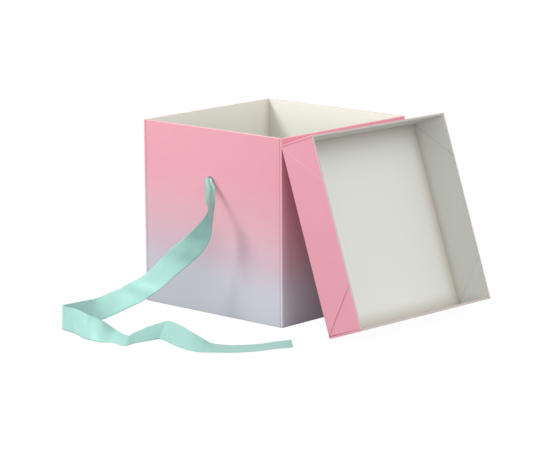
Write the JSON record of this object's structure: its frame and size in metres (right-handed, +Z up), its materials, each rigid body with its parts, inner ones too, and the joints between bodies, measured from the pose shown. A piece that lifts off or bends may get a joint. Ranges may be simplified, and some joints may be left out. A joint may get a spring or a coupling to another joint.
{
  "type": "flower box",
  "caption": "Square paper-covered flower box with an open top, a loose lid leaning on its side and a satin ribbon knotted through the front.",
  "frame": {"origin": "on the floor under the middle of the box's base", "axes": "+Z up; -Y is the side with the ribbon; +X is the side the lid leans against"},
  "size_m": [0.32, 0.3748, 0.2088],
  "materials": {
    "ombre_wrap": "matt coated paper printed pink at the top, fading to pale blue at the foot",
    "pink_wrap": "matt coated paper printed pink",
    "lining_paper": "matt off-white uncoated paper",
    "tape_paper": "matt off-white paper hinge tape",
    "greyboard": "solid grey chipboard core",
    "satin_ribbon": "mint green single-faced satin, woven edges"
  },
  "bodies": {
    "box": {"board_front": "greyboard", "board_back": "greyboard", "board_left": "greyboard", "board_right": "greyboard", "wrap_front": "ombre_wrap", "wrap_back": "ombre_wrap", "wrap_left": "ombre_wrap", "wrap_right": "ombre_wrap", "lining_front": "lining_paper", "lining_back": "lining_paper", "lining_left": "lining_paper", "lining_right": "lining_paper", "wall_tape": "tape_paper", "ribbon": "satin_ribbon", "ribbon_knot": "satin_ribbon"},
    "base_panel": {"base_board": "greyboard", "base_wrap": "pink_wrap", "base_lining": "lining_paper", "base_tape": "tape_paper"},
    "lid": {"lid_board_top": "greyboard", "lid_board_foot": "greyboard", "lid_board_head": "greyboard", "lid_board_front": "greyboard", "lid_board_back": "greyboard", "lid_gusset_front_foot": "greyboard", "lid_gusset_front_head": "greyboard", "lid_gusset_back_foot": "greyboard", "lid_gusset_back_head": "greyboard", "lid_wrap_top": "pink_wrap", "lid_wrap_foot": "pink_wrap", "lid_wrap_head": "pink_wrap", "lid_wrap_front": "pink_wrap", "lid_wrap_back": "pink_wrap", "lid_lining_top": "lining_paper", "lid_lining_foot": "lining_paper", "lid_lining_head": "lining_paper", "lid_lining_front": "lining_paper", "lid_lining_back": "lining_paper"}
  },
  "joints": [
    {"name": "lid_away", "type": "slide", "parent": "box", "child": "lid", "axis": [1, 0, 0], "range_m": [0, 0.25]},
    {"name": "base_fold", "type": "hinge", "parent": "box", "child": "base_panel", "pos_m": [0, 0.0965, 0.0035], "axis": [-1, 0, 0], "range_deg": [0, 90]}
  ]
}
